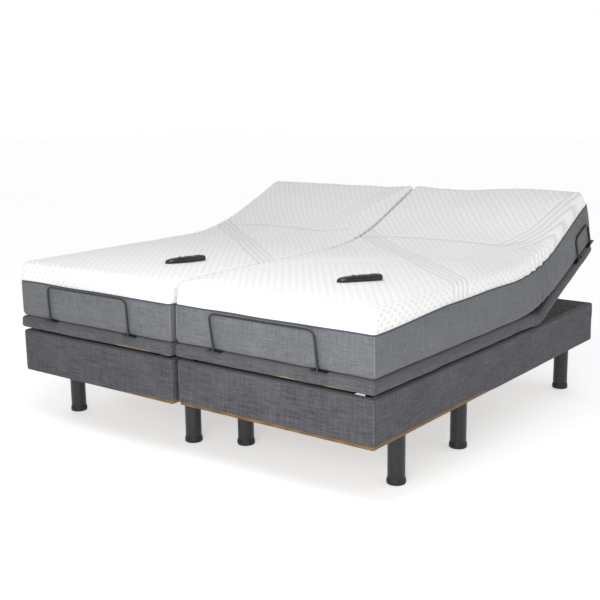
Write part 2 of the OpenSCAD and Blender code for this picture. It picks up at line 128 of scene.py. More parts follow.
def tube(path, radius, sides, closed=False):
    """Points and quads of a round tube along a path that never runs straight up."""
    ahead = np.roll(path, -1, 0) - np.roll(path, 1, 0)
    if not closed:
        ahead[0], ahead[-1] = path[1] - path[0], path[-1] - path[-2]
    ahead /= np.linalg.norm(ahead, axis=1, keepdims=True)
    guide = np.array([0, 0, 1.0]) if np.abs(ahead[:, 2]).max() < 0.8 else np.array([0.6, 0.8, 0])
    across = np.cross(ahead, guide)
    across /= np.linalg.norm(across, axis=1, keepdims=True)
    lift = np.cross(across, ahead)
    angle = np.arange(sides) * 2 * math.pi / sides
    rings = (path[:, None] + radius * (across[:, None] * np.cos(angle)[:, None]
                                       + lift[:, None] * np.sin(angle)[:, None]))
    return rings.reshape(-1, 3), ring_quads(len(path), sides, closed)


def ring_quads(rows, count, closed=False):
    """Quads between neighbouring closed rings of points."""
    r, c = np.meshgrid(np.arange(rows if closed else rows - 1), np.arange(count), indexing="ij")
    right, above = (c + 1) % count, (r + 1) % rows
    return np.stack([r * count + c, r * count + right, above * count + right,
                     above * count + c], -1).reshape(-1, 4)


def rounded(points, low, high, radius):
    """Moves the points of a box's surface onto the same box with round edges."""
    radius = np.broadcast_to(np.asarray(radius, float), (len(points),))[:, None]
    inner = np.clip(points, np.asarray(low) + radius, np.asarray(high) - radius)
    away = points - inner
    size = np.linalg.norm(away, axis=1, keepdims=True)
    return inner + away * radius / np.maximum(size, 1e-9)


def steps(a, b, size):
    """Evenly spaced grid lines from a to b, about size apart."""
    return np.linspace(a, b, max(2, int(round(abs(b - a) / size)) + 1))


def grid_lines(a, b, edge, fine, coarse):
    """Grid lines that are fine within edge of both ends and coarse between."""
    return np.concatenate([steps(a, a + edge, fine), steps(a + edge, b - edge, coarse)[1:-1],
                           steps(b - edge, b, fine)])


def make_mesh(name, points, faces, material):
    mesh = bpy.data.meshes.new(name)
    mesh.from_pydata(np.asarray(points).tolist(), [], [list(map(int, f)) for f in faces])
    mesh.polygons.foreach_set("use_smooth", [True] * len(mesh.polygons))
    mesh.update()
    piece = bpy.data.objects.new(name, mesh)
    scene.collection.objects.link(piece)
    if material is not None:
        mesh.materials.append(material)
    return piece


def vertex_normals(points, faces):
    """Area-weighted normals at the vertices of a quad mesh."""
    a, b, c, d = (points[faces[:, n]] for n in range(4))
    face_n = np.cross(c - a, d - b)
    normals = np.zeros_like(points)
    for n in range(4):
        np.add.at(normals, faces[:, n], face_n)
    return normals / np.maximum(np.linalg.norm(normals, axis=1, keepdims=True), 1e-12)


def smoothstep(t):
    t = np.clip(t, 0, 1)
    return t * t * (3 - 2 * t)


def ripple(p, wave, seed):
    """Smooth irregular waves between about -1 and 1, with that wavelength in metres."""
    total = np.zeros(len(p))
    for n in range(6):
        angle = 2.4 * n + seed
        tilt = 0.9 * math.sin(1.7 * n + seed)
        way = np.array([math.cos(angle), math.sin(angle), tilt])
        way /= np.linalg.norm(way)
        speed = 2 * math.pi / wave * (0.7 + 0.13 * n)
        total += np.sin(p @ way * speed + 3.1 * n + 2 * seed)
    return total / 3.2


def evaluated(piece):
    """The piece's mesh with its modifiers, as points and quads."""
    mesh = piece.evaluated_get(bpy.context.evaluated_depsgraph_get()).to_mesh()
    points = np.empty(len(mesh.vertices) * 3, np.float32)
    mesh.vertices.foreach_get("co", points)
    faces = np.empty(len(mesh.loops), np.int32)
    mesh.loops.foreach_get("vertex_index", faces)
    return points.reshape(-1, 3).astype(float), faces.reshape(-1, 4).astype(int)


SWELLING_FRAMES = 20


def swelled(points, faces, pinned, pressure, cap):
    """Blows a closed mesh up as cloth, holding the pinned points, and limits how far it moves."""
    piece = make_mesh("swelling", points, faces, None)
    group = piece.vertex_groups.new(name="held")
    for weight in np.unique(pinned.round(2)):
        if weight > 0:
            group.add(np.nonzero(pinned.round(2) == weight)[0].tolist(), float(weight), "REPLACE")
    cloth = piece.modifiers.new("Cloth", "CLOTH")
    settings = cloth.settings
    settings.quality = 5
    settings.mass = 0.4
    settings.tension_stiffness = settings.compression_stiffness = 25
    settings.shear_stiffness = 12
    settings.bending_stiffness = 2
    settings.use_pressure = True
    settings.uniform_pressure_force = pressure
    settings.vertex_group_mass = "held"
    settings.effector_weights.gravity = 0
    cloth.collision_settings.use_collision = False
    cloth.collision_settings.use_self_collision = False
    scene.frame_start, scene.frame_end = 1, SWELLING_FRAMES
    for number in range(1, SWELLING_FRAMES + 1):
        scene.frame_set(number)
    swollen = evaluated(piece)[0]
    scene.frame_set(1)
    bpy.data.objects.remove(piece)
    moved = swollen - points
    size = np.linalg.norm(moved, axis=1, keepdims=True)
    return points + moved * np.tanh(size / cap) * cap / np.maximum(size, 1e-9)


def subdivided(points, faces):
    """One level of smooth subdivision."""
    piece = make_mesh("finer", points, faces, None)
    piece.modifiers.new("Subdivision", "SUBSURF").levels = 1
    finer = evaluated(piece)
    bpy.data.objects.remove(piece)
    return finer


# ---------------------------------------------------------------- bending

class Bend:
    """Where one unit's soft layer bends, as (before, after) distances from each hinge.

    Head, thigh and knee are the (start, end) lines of three zones. The head zone's line lies
    halfway between flat and the resting angle, and height is the layer's top above the hinge."""

    def __init__(self, unit, height, head, thigh, knee):
        lean = unit.rest / 2
        hinge = np.array([unit.x, unit.head_y, unit.hinge_z])
        self.way = np.array([0, math.cos(lean), math.sin(lean)])
        self.unit, self.hinge = unit, hinge
        self.head = (hinge - self.way * head[0], hinge + self.way * head[1])
        self.thigh = tuple(np.array([unit.x, unit.thigh_y + d, unit.hinge_z])
                           for d in (thigh[0], -thigh[1]))
        self.knee = tuple(np.array([unit.x, unit.knee_y + d, unit.hinge_z])
                          for d in (knee[0], -knee[1]))
        first = unit.head_y - (head[0] + height * math.sin(lean)) / math.cos(lean)
        self.cut_head = (first + self.thigh[0][1]) / 2
        self.cut_thigh = (self.thigh[1][1] + self.knee[0][1]) / 2

    def unbendable(self, flat):
        """Flat points bent to the resting head angle, so that unbending gives them back."""
        start, end = self.head
        length = np.linalg.norm(end - start)
        offset = flat - self.hinge
        bent = flat.copy()
        for _ in range(60):
            angle = self.unit.rest * smoothstep((bent - start) @ self.way / length)
            c, s = np.cos(angle), np.sin(angle)
            bent[:, 1] = self.hinge[1] + offset[:, 1] * c - offset[:, 2] * s
            bent[:, 2] = self.hinge[2] + offset[:, 1] * s + offset[:, 2] * c
        return bent


class Arc:
    """How a thick mattress lies over the raised head section: a wide arc in place of a corner.

    The arc is longer at the top of the mattress than underneath. Its corner is where the two
    flat stretches of the underside would meet."""

    def __init__(self, unit, low, top):
        self.unit, self.low, self.top = unit, low, top
        self.offset = (unit.deck_top - unit.hinge_z) * math.tan(unit.rest / 2)
        self.corner = unit.head_y - self.offset
        self.slack = low * (math.tan(unit.rest / 2) / (unit.rest / 2) - 1)
        self.head_end = self.corner + unit.head_end - unit.head_y - self.offset - self.slack

    def along(self, flat):
        """Radius of each point's arc, where its arc starts, and its distance along the arc."""
        unit = self.unit
        share = np.clip((flat[:, 2] - unit.deck_top) / (unit.top - unit.deck_top), 0, 1)
        reach = self.low + (self.top - self.low) * share
        radius = reach / unit.rest
        tangent = radius * math.tan(unit.rest / 2)
        past = flat[:, 1] - self.corner + tangent
        return radius, tangent, past, np.clip(past, 0, reach)

    def bent(self, flat):
        radius, tangent, past, arc = self.along(flat)
        angle = arc / radius
        c, s = np.cos(angle), np.sin(angle)
        height = flat[:, 2] - self.unit.deck_top
        straight = np.maximum(past - arc, 0)
        out = flat.copy()
        out[:, 1] = (self.corner - tangent + np.minimum(past, 0) + radius * s + straight * c
                     - height * s)
        out[:, 2] = self.unit.deck_top + radius * (1 - c) + straight * s + height * c
        return out

    def plan(self, flat):
        """Places of the points on the flat mattress, seen from the middle of the unit."""
        radius, _, _, arc = self.along(flat)
        lost = (2 * self.offset + self.slack) * arc / (radius * self.unit.rest)
        middle = (self.unit.foot_y + self.unit.head_end) / 2
        return np.column_stack([flat[:, 0] - self.unit.x, flat[:, 1] + lost - middle])


def bending_pieces(name, bend, flat, bent, faces, material, nodes=None,
                   extra=None):
    """Makes one layer as three pieces, cut between its head, thigh and knee zones."""
    unit = bend.unit
    side = unit.side
    normals = vertex_normals(bent, faces)
    values = {"cloth": cloth_map(flat, vertex_normals(flat, faces)), **(extra or {})}
    middle = flat[faces][:, :, 1].mean(axis=1)
    zones = {"head": (middle > bend.cut_head, "base", "head_" + side, bend.head),
             "thigh": ((middle <= bend.cut_head) & (middle > bend.cut_thigh),
                       "base", "thigh_" + side, bend.thigh),
             "foot": (middle <= bend.cut_thigh, "thigh_" + side, "foot_" + side, bend.knee)}
    for zone, (chosen, body_a, body_b, line) in zones.items():
        used, local = np.unique(faces[chosen], return_inverse=True)
        piece = make_mesh(f"{name}_{zone}_{side}", bent[used],
                          local.reshape(-1, faces.shape[1]), material)
        store(piece, {key: value[used] for key, value in values.items()})
        piece.data.normals_split_custom_set_from_vertices(normals[used].tolist())
        if nodes:
            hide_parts(*nodes[zone])
        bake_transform(piece)


def store(piece, values):
    """Keeps numbers or vectors at the points of a piece, for its material."""
    for key, value in values.items():
        kind, field = ("FLOAT_VECTOR", "vector") if value.ndim == 2 else ("FLOAT", "value")
        layer = piece.data.attributes.new(key, kind, "POINT")
        layer.data.foreach_set(field, value.astype(np.float32).ravel())


# Sides of the thin tubes that stand for seams and piping
CORD_SIDES = 6


def welt(name, path, radius, material, body):
    """A sewn seam: a thin tube that rides on one body."""
    points, faces = tube(np.asarray(path), radius, CORD_SIDES)
    caps = [list(range(CORD_SIDES))[::-1], list(range(len(points) - CORD_SIDES, len(points)))]
    piece = make_mesh(name, points, faces.tolist() + caps, material)
    store(piece, {"cloth": points})
    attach(piece, body)


def cloth_map(flat, normals):
    """Cloth coordinates in metres: plan position, unrolled down the sides."""
    drop = flat[:, 2].max() - flat[:, 2]
    side = np.hypot(normals[:, 0], normals[:, 1])
    out = np.zeros_like(flat)
    out[:, 0] = flat[:, 0] + np.sign(normals[:, 0]) * drop * (np.abs(normals[:, 0]) > 0.4)
    out[:, 1] = flat[:, 1] + np.sign(normals[:, 1]) * drop * (np.abs(normals[:, 1]) > 0.7)
    out[:, 2] = side
    return out


# ---------------------------------------------------------------- materials

class Shader:
    """Small helper to write a node material in a few lines."""

    def __init__(self, name):
        self.material = bpy.data.materials.new(name)
        self.material.use_nodes = True
        self.tree = self.material.node_tree
        self.tree.nodes.clear()
        self.out = self.add("ShaderNodeOutputMaterial")
        self.bsdf = self.add("ShaderNodeBsdfPrincipled")
        self.tree.links.new(self.bsdf.outputs[0], self.out.inputs["Surface"])

    def add(self, kind, inputs=None, **options):
        node = self.tree.nodes.new(kind)
        for key, value in options.items():
            setattr(node, key, value)
        for key, value in (inputs or {}).items():
            self.put(node, key, value)
        return node

    def put(self, node, key, value):
        if hasattr(value, "is_output"):
            self.tree.links.new(value, node.inputs[key])
        else:
            node.inputs[key].default_value = value

    def maths(self, operation, a, b=0.0):
        return self.add("ShaderNodeMath", {0: a, 1: b}, operation=operation).outputs[0]

    def attribute(self, name):
        return self.add("ShaderNodeAttribute", attribute_name=name)

    def scaled(self, vector, scale):
        return self.add("ShaderNodeMapping", {"Vector": vector, "Scale": scale}).outputs[0]

    def noise(self, vector, scale, detail, rough=0.5):
        return self.add("ShaderNodeTexNoise", {"Vector": vector, "Scale": scale, "Detail": detail,
                                               "Roughness": rough}).outputs[0]

    def ramp(self, value, stops):
        node = self.add("ShaderNodeValToRGB", {0: value})
        elements = node.color_ramp.elements
        while len(elements) < len(stops):
            elements.new(0.5)
        for element, (place, colour) in zip(elements, stops):
            element.position = place
            element.color = (*colour, 1)
        return node.outputs[0]

    def mix(self, share, a, b):
        node = self.add("ShaderNodeMix", data_type="RGBA")
        for key, value in ((0, share), (6, a), (7, b)):
            self.put(node, key, (*value, 1) if isinstance(value, tuple) else value)
        return node.outputs[2]

    def bump(self, height, strength, distance):
        node = self.add("ShaderNodeBump", {"Height": height, "Strength": strength,
                                           "Distance": distance})
        self.tree.links.new(node.outputs[0], self.bsdf.inputs["Normal"])

    def set(self, **values):
        for key, value in values.items():
            key = key.replace("_", " ")
            if isinstance(value, tuple) and len(value) == 3:
                value = (*value, 1)
            self.put(self.bsdf, key, value)


def linen(name, dark, light, slub=0.55, relief=0.5):
    """Heathered plain weave: fine yarns both ways, and longer thick slubs among them."""
    m = Shader(name)
    cloth = m.attribute("cloth").outputs["Vector"]

    def yarns(long_way, cross_way):
        across = m.noise(m.scaled(cloth, (long_way, cross_way, 60)), 1.0, 3, 0.65)
        along = m.noise(m.scaled(cloth, (cross_way, long_way, 60)), 1.0, 3, 0.65)
        return m.maths("ADD", m.maths("MULTIPLY", across, 0.58), m.maths("MULTIPLY", along, 0.42))

    fine, slubs = yarns(38, 620), yarns(9, 150)
    blotch = m.noise(cloth, 4, 3)
    shade = m.maths("ADD", m.maths("MULTIPLY", fine, 1 - slub), m.maths("MULTIPLY", slubs, slub))
    shade = m.maths("ADD", shade, m.maths("MULTIPLY", m.maths("SUBTRACT", blotch, 0.5), 0.10))
    colour = m.ramp(shade, [(0.40, dark), (0.60, light)])
    m.bump(m.maths("ADD", fine, slubs), relief, 0.0008)
    m.set(Base_Color=colour, Roughness=0.92, Sheen_Weight=0.12, Sheen_Roughness=0.5)
    m.put(m.bsdf, "Specular IOR Level", 0.12)
    return m.material


def knit(name):
    """White stretch knit: rows of small open diamonds, smooth where the quilted bands run, and darkened along the
    quilted grooves as painted shade.
    """
    m = Shader(name)
    cloth = m.attribute("cloth").outputs["Vector"]
    band = m.attribute("band").outputs["Fac"]
    parts = m.add("ShaderNodeSeparateXYZ", {0: cloth})
    u = m.maths("DIVIDE", parts.outputs[0], 0.036)
    v = m.maths("DIVIDE", parts.outputs[1], 0.046)

    def folded(value):
        return m.maths("ABSOLUTE", m.maths("SUBTRACT", m.maths("FRACT", value), 0.5))

    def ring(shift):
        far = m.maths("ADD", folded(m.maths("ADD", u, shift)), folded(m.maths("ADD", v, shift)))
        return m.maths("ABSOLUTE", m.maths("SUBTRACT", far, 0.15))

    nearest = m.maths("MINIMUM", ring(0.0), ring(0.5))
    mark = m.add("ShaderNodeMapRange", {0: nearest, 1: 0.03, 2: 0.12, 3: 1.0, 4: 0.0},
                 interpolation_type="SMOOTHSTEP").outputs[0]
    # The groove attribute darkens the colour along the quilted grooves: painted shade in the creases.
    groove = m.attribute("groove").outputs["Fac"]
    open_share = m.maths("SUBTRACT", 1.0, m.maths("MULTIPLY", band, 0.94))
    mark = m.maths("MULTIPLY", mark, open_share)
    grain = m.noise(cloth, 420, 2)
    soft = m.noise(cloth, 7, 3)
    white = m.mix(m.maths("MULTIPLY", soft, 0.5), (0.90, 0.905, 0.89), (0.84, 0.85, 0.83))
    # The knit's own diamond marks, plus painted shade in the grooves, both mixed towards grey.
    marks_and_groove_shade = m.maths("ADD", m.maths("MULTIPLY", mark, 0.38), m.maths("MULTIPLY", groove, 0.42))
    colour = m.mix(marks_and_groove_shade, white, (0.50, 0.52, 0.53))
    height = m.maths("SUBTRACT", m.maths("MULTIPLY", grain, 0.35), mark)
    m.bump(height, 0.5, 0.0012)
    m.set(Base_Color=colour, Roughness=0.85, Sheen_Weight=0.1, Sheen_Roughness=0.5)
    m.put(m.bsdf, "Specular IOR Level", 0.2)
    return m.material


def moulded(name, base, roughness, grain_scale=900.0, depth=0.0002):
    """Moulded plastic or paint: fine grain, faint dust and slightly uneven gloss."""
    m = Shader(name)
    place = m.add("ShaderNodeTexCoord").outputs["Object"]
    grain = m.noise(place, grain_scale, 2)
    cloud = m.noise(place, 12, 4)
    lighter = tuple(min(1.0, 1.7 * c + 0.012) for c in base)
    colour = m.mix(m.maths("MULTIPLY", cloud, 0.5), base, lighter)
    rough = m.add("ShaderNodeMapRange", {0: cloud, 1: 0.3, 2: 0.7, 3: roughness * 0.85,
                                         4: min(1.0, roughness * 1.15)}).outputs[0]
    m.bump(grain, 0.35, depth)
    m.set(Base_Color=colour, Roughness=rough)
    return m.material


def metal(name, base, roughness):
    """Bare steel, drawn along its length."""
    m = Shader(name)
    place = m.add("ShaderNodeTexCoord").outputs["Object"]
    drawn = m.noise(m.scaled(place, (900, 12, 900)), 1.0, 3)
    colour = m.mix(drawn, base, tuple(0.8 * c for c in base))
    rough = m.add("ShaderNodeMapRange", {0: drawn, 1: 0.3, 2: 0.7, 3: roughness * 0.8,
                                         4: roughness * 1.2}).outputs[0]
    m.bump(drawn, 0.2, 0.0002)
    m.set(Base_Color=colour, Roughness=rough, Metallic=1.0)
    return m.material


def timber(name, dark, light):
    """Sawn pine: long grain with rings and fine pores."""
    m = Shader(name)
    place = m.add("ShaderNodeTexCoord").outputs["Object"]
    long_grain = m.noise(m.scaled(place, (3, 3, 60)), 2.2, 5)
    rings = m.add("ShaderNodeTexWave", {"Vector": m.scaled(place, (2, 2, 40)), "Scale": 1.4,
                                        "Distortion": 7.0, "Detail": 3.0}).outputs[0]
    pores = m.noise(m.scaled(place, (40, 40, 900)), 3.0, 2)
    shade = m.maths("ADD", m.maths("MULTIPLY", rings, 0.4), m.maths("MULTIPLY", long_grain, 0.6))
    colour = m.ramp(shade, [(0.25, dark), (0.75, light)])
    m.bump(pores, 0.3, 0.0004)
    m.set(Base_Color=colour, Roughness=0.7)
    return m.material


MATERIALS = {
    "leg_plastic": moulded("leg_plastic", (0.007, 0.0075, 0.008), 0.36),
    "foot_rubber": moulded("foot_rubber", (0.006, 0.0065, 0.007), 0.6),
    "frame_steel": moulded("frame_steel", (0.020, 0.021, 0.023), 0.45, 500.0),
    "bare_steel": metal("bare_steel", (0.56, 0.57, 0.59), 0.35),
    "rod_chrome": metal("rod_chrome", (0.75, 0.76, 0.77), 0.14),
    "box_wood": timber("box_wood", (0.13, 0.066, 0.018), (0.23, 0.120, 0.036)),
    "deck_wood": timber("deck_wood", (0.42, 0.29, 0.16), (0.50, 0.37, 0.22)),
    "box_linen": linen("box_linen", (0.036, 0.036, 0.042), (0.112, 0.112, 0.124)),
    # Lighter linen for the lining inside the box: painted light, brighter than the outer cover so the inside does
    # not fall dark in the raised deck's shade.
    "box_lining_painted_light": linen("box_lining_painted_light", (0.10, 0.10, 0.11), (0.22, 0.22, 0.24)),
    "deck_linen": linen("deck_linen", (0.046, 0.046, 0.052), (0.122, 0.122, 0.134)),
    "mattress_border": linen("mattress_border", (0.092, 0.096, 0.101), (0.184, 0.190, 0.199),
                             0.40, 0.35),
    "mattress_knit": knit("mattress_knit"),
    # Dark blue-grey piping along the mattress seam: partly the real piping, partly painted shade for the shadow
    # under the overhanging white top.
    "seam_cord_painted_shade": moulded("seam_cord_painted_shade", (0.045, 0.055, 0.085), 0.8),
    # Lighter linen for the corner welts: partly the real sewn seams, partly a painted highlight where the fabric's
    # fold at each corner catches light.
    "border_welt_painted_highlight": linen("border_welt_painted_highlight", (0.15, 0.155, 0.16), (0.22, 0.225, 0.23)),
    "deck_welt_painted_highlight": linen("deck_welt_painted_highlight", (0.07, 0.07, 0.075), (0.13, 0.13, 0.14)),
    "box_welt_painted_highlight": linen("box_welt_painted_highlight", (0.075, 0.075, 0.082), (0.14, 0.14, 0.15)),
    "drive_plastic": moulded("drive_plastic", (0.018, 0.019, 0.021), 0.5),
    "bar_paint": moulded("bar_paint", (0.011, 0.013, 0.014), 0.35, 500.0),
    "handset_plastic": moulded("handset_plastic", (0.007, 0.0075, 0.008), 0.22, 1200.0, 0.0001),
    "key_plastic": moulded("key_plastic", (0.035, 0.038, 0.042), 0.45),
}
for part in frame["record"]["subparts"]:
    node = frame["nodes"][part["node"]]
    node.data.materials.clear()
    node.data.materials.append(MATERIALS[part["material_slot"]])


# ---------------------------------------------------------------- mattress

# Depth of the seam below the top, at the foot end and further on
SEAM_FOOT, SEAM_HEAD = 0.099, 0.079
TOP_R, BOTTOM_R = 0.030, 0.009
PIPING_R, BORDER_SEAM_R = 0.0034, 0.0032
# The mattresses touch in the middle: sharper edges there, and how far each reaches over
PRESSED_R, NEIGHBOUR_REACH = 0.006, 0.0025
# Where it bends at each hinge, as Bend takes it, and its arc's length underneath and on top
MATTRESS_ZONES = dict(head=(0.190, 0.235), thigh=(0.165, 0.170), knee=(0.200, 0.160))
ARC_LOW, ARC_TOP = 0.50, 0.62
# Size of the mesh before it is subdivided
CELL = 0.014

# Quilted bands: places from the middle of a unit in metres, half width and number of ribs.
# A diagonal crosses each mattress, and a wide sweep runs from its foot end to its head end.
DIAGONAL = [(-0.50, 0.49), (-0.31, 0.31), (-0.10, 0.12), (0.13, -0.09), (0.30, -0.24),
            (0.50, -0.40)]
SWEEP_LEFT = [(-0.50, -0.30), (-0.26, -0.08), (-0.08, 0.10), (0.05, 0.34), (0.20, 0.61),
              (0.30, 0.82), (0.39, 1.02)]
SWEEP_RIGHT = [(-0.50, -0.66), (-0.30, -0.34), (-0.02, -0.08), (0.14, 0.14), (0.31, 0.40),
               (0.41, 0.64), (0.46, 0.84), (0.50, 1.02)]
CROSSING = [(-0.50, 0.38), (-0.20, 0.43), (0.05, 0.437), (0.27, 0.43), (0.36, 0.50)]
BANDS = {"left": ((DIAGONAL, 0.042, 4), (SWEEP_LEFT, 0.040, 4), (CROSSING, 0.008, 2)),
         "right": ((DIAGONAL, 0.042, 4), (SWEEP_RIGHT, 0.058, 5), (CROSSING, 0.008, 2))}
RIB_W, RIB_DEPTH = 0.0060, 0.0055
# How far the smooth cloth reaches past the outer ribs, and over how much it fades
BAND_MARGIN, BAND_FADE = 0.014, 0.008


def smooth_line(points, count):
    """Catmull-Rom curve through the points."""
    p = np.array([points[0]] + list(points) + [points[-1]], float)
    spans = len(points) - 1
    t = np.linspace(0, spans - 1e-6, count)
    i = t.astype(int)
    f = (t - i)[:, None]
    a, b, c, d = p[i], p[i + 1], p[i + 2], p[i + 3]
    return 0.5 * (2 * b + (c - a) * f + (2 * a - 5 * b + 4 * c - d) * f ** 2
                  + (3 * b - a - 3 * c + d) * f ** 3)


def signed_distance(p, line):
    """Distance from each point to a polyline, positive on its left."""
    best = np.full(len(p), 1e9)
    sign = np.ones(len(p))
    for a, b in zip(line[:-1], line[1:]):
        d = b - a
        t = np.clip((p - a) @ d / (d @ d), 0, 1)
        away = p - (a + t[:, None] * d)
        size = np.hypot(away[:, 0], away[:, 1])
        cross = d[0] * away[:, 1] - d[1] * away[:, 0]
        nearer = size < best
        best = np.where(nearer, size, best)
        sign = np.where(nearer, np.sign(cross), sign)
    return best * np.where(sign == 0, 1, sign)


def quilting(plan, side):
    """Depth of the quilted grooves and how much each point belongs to a smooth band."""
    groove = np.zeros(len(plan))
    band = np.zeros(len(plan))
    for line, half, ribs in BANDS[side]:
        away = signed_distance(plan, smooth_line(line, 60))
        for offset in np.linspace(-half, half, ribs):
            groove = np.maximum(groove, np.exp(-((away - offset) / RIB_W) ** 2))
        band = np.maximum(band, smoothstep((half + BAND_MARGIN - np.abs(away)) / BAND_FADE))
    return groove, band


def seam_drop(p, unit):
    """Depth of the seam below the top: it rises from the foot end, and puckers at the bend."""
    y = p[:, 1] - unit.foot_y
    drop = SEAM_FOOT + (SEAM_HEAD - SEAM_FOOT) * smoothstep((y - 0.05) / 0.55)
    pucker = np.exp(-((p[:, 1] - unit.head_y) / 0.17) ** 2)
    wave = 0.0020 * ripple(p * [1, 1, 0], 0.34, unit.seed + 2)
    return drop + wave + 0.0040 * pucker * np.sin(2 * math.pi * y / 0.078)


def against_neighbour(p, unit):
    """Where the two mattresses press on each other, past the round corner at the foot end."""
    inner = unit.x + unit.inward * unit.half_w
    return (smoothstep(1 - (np.abs(p[:, 0] - inner) - 0.05) / 0.10)
            * smoothstep((p[:, 1] - unit.foot_y - 0.03) / 0.10))


def mattress_blank(unit, head_end):
    """One flat mattress as points, quads, level of each point and the numbers of its seam."""
    low, high = (np.array(corner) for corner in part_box("foot_mattress_" + unit.side))
    low = np.array([low[0] + 0.001, low[1] + 0.001, unit.deck_top + 0.0005])
    high = np.array([high[0] - 0.001, head_end, unit.top - 0.004])
    seam = unit.top - SEAM_FOOT
    zs = np.concatenate([steps(low[2], seam - 0.005, CELL), [seam],
                         steps(seam + 0.005, high[2], CELL)])
    points, faces, index = lattice(steps(low[0], high[0], CELL), steps(low[1], high[1], CELL), zs)
    level = points[:, 2].copy()
    pressed = against_neighbour(points, unit)
    round_top = TOP_R + (PRESSED_R - TOP_R) * pressed
    radius = BOTTOM_R + (round_top - BOTTOM_R) * smoothstep((level - seam) / (high[2] - seam))
    shaped = rounded(points, low, high, radius)
    shaped[:, 0] += NEIGHBOUR_REACH * unit.inward * pressed * smoothstep((level - seam) / 0.03)
    pinned = np.where(level < low[2] + 0.002, 1.0, 0.0)
    pinned = np.maximum(pinned, np.where(np.abs(level - seam) < 0.002, 0.9, 0.0))
    shaped = swelled(shaped, faces, pinned, 3.0, 0.005)
    row = int(np.argmin(np.abs(zs - seam)))
    around = np.concatenate([index[:-1, 0, row], index[-1, :-1, row],
                             index[:0:-1, -1, row], index[0, :0:-1, row]])
    corners = index[[0, -1, 0, -1], [0, 0, -1, -1], :row + 1]
    return shaped, faces, level[faces].mean(axis=1) > seam, around, corners


def build_mattress(unit):
    """A knit top and a woven border, with piping along their seam and welts up the corners. The piping's dark
    colour is partly painted shade, and the welts are lighter as a painted highlight.
    """
    arc = Arc(unit, ARC_LOW, ARC_TOP)
    shaped, faces, white, around, corners = mattress_blank(unit, arc.head_end)
    points, faces = subdivided(shaped, faces)
    white = np.repeat(white, 4)
    low, high = points.min(axis=0), points.max(axis=0)
    seam = unit.top - SEAM_FOOT
    normals = vertex_normals(points, faces)
    groove, band = quilting(arc.plan(points), unit.side)
    on_white = smoothstep((points[:, 2] - seam - 0.004) / 0.02)
    relief = -RIB_DEPTH * groove * on_white + 0.0011 * ripple(points, 0.23, unit.seed)
    points = points + normals * (relief + bend_folds(points, unit, normals))[:, None]
    # the seam's real height, with everything above and below it moved along
    height = seam + SEAM_FOOT - seam_drop(points, unit)
    below = low[2] + (points[:, 2] - low[2]) * (height - low[2]) / (seam - low[2])
    above = high[2] - (high[2] - points[:, 2]) * (high[2] - height) / (high[2] - seam)
    points[:, 2] = np.where(points[:, 2] < seam, below, above)
    # the head end bulges and leans out, and is not as thick on one unit as on the other
    share = np.clip((points[:, 2] - low[2]) / (high[2] - low[2]), 0, 1)
    near_end = smoothstep((points[:, 1] - high[1] + 0.09) / 0.09)
    points[:, 1] += near_end * (0.072 * share * (1 - share) + head_overhang(points, unit) * share)
    points[:, 2] += plumpness(points, unit, high) * share
    bent = arc.bent(points)
    bend = Bend(unit, unit.top - unit.hinge_z, **MATTRESS_ZONES)
    nodes = soft_nodes("mattress", unit.side)
    # The groove values also darken the knit's colour: painted shade in the quilted grooves.
    bending_pieces("mattress_top", bend, points, bent, faces[white],
                   MATERIALS["mattress_knit"], nodes,
                   {"band": band * on_white, "groove": groove * on_white})
    bending_pieces("mattress_border", bend, points, bent, faces[~white],
                   MATERIALS["mattress_border"], nodes)
    # The piping tube: partly the real piping, with its dark colour partly painted shade under the overhanging
    # white top.
    cord, cord_faces = tube(bent[around], PIPING_R, CORD_SIDES, closed=True)
    flat_cord = np.repeat(points[around], CORD_SIDES, 0)
    bending_pieces("mattress_piping", bend, flat_cord, cord, cord_faces,
                   MATERIALS["seam_cord_painted_shade"])
    # Corner welts in lighter linen: partly real seams, partly a painted highlight up each corner.
    for number, column in enumerate(corners):
        body = ("foot_" if number < 2 else "head_") + unit.side
        welt(f"border_seam_highlight_{number}_{unit.side}", bent[column[1:-1]], BORDER_SEAM_R,
             MATERIALS["border_welt_painted_highlight"], body)


def head_overhang(p, unit):
    """How far the top of the head end leans out past its foot."""
    if unit.side == "left":
        return np.full(len(p), 0.046)
    return 0.038 - 0.024 * smoothstep((p[:, 0] - unit.x) / 0.40)


def plumpness(p, unit, high):
    """The left head end is a little thinner, and the right one thicker on its outer side."""
    near = smoothstep((p[:, 1] - high[1] + 0.55) / 0.50)
    if unit.side == "left":
        return -0.010 * near
    across = smoothstep((p[:, 0] - unit.x + 0.22) / 0.50)
    return (0.034 * across - 0.004) * near


def soft_nodes(layer, side):
    """CAD blocks that each zone of a soft layer stands for."""
    plural = {"mattress": "seat_mattresses", "pad": "seat_pads"}[layer]
    return {"head": [f"head_{layer}_{side}", plural], "thigh": [f"thigh_{layer}_{side}", plural],
            "foot": [f"foot_{layer}_{side}"]}


def bend_folds(p, unit, normals):
    """Small upright folds on the sides where the head bend squeezes the cover."""
    near = np.exp(-((p[:, 1] - unit.head_y - 0.02) / 0.13) ** 2)
    side = np.clip(np.abs(normals[:, 0]) - 0.3, 0, 1)
    wave = np.sin(2 * math.pi * p[:, 1] / 0.052 + 2.5 * ripple(p, 0.3, unit.seed + 1))
    return 0.0038 * near * side * wave


# ---------------------------------------------------------------- padded deck

DECK_ZONES = dict(head=(0.11, 0.11), thigh=(0.075, 0.075), knee=(0.06, 0.06))
DECK_R, DECK_HEM_R = 0.013, 0.004
DECK_SEAM_R = 0.0028
# Mesh sizes: near the edges, across, along and up the deck, and how far "near" reaches
DECK_FINE, DECK_ACROSS, DECK_ALONG, DECK_UP, DECK_EDGE = 0.009, 0.05, 0.014, 0.007, 0.07
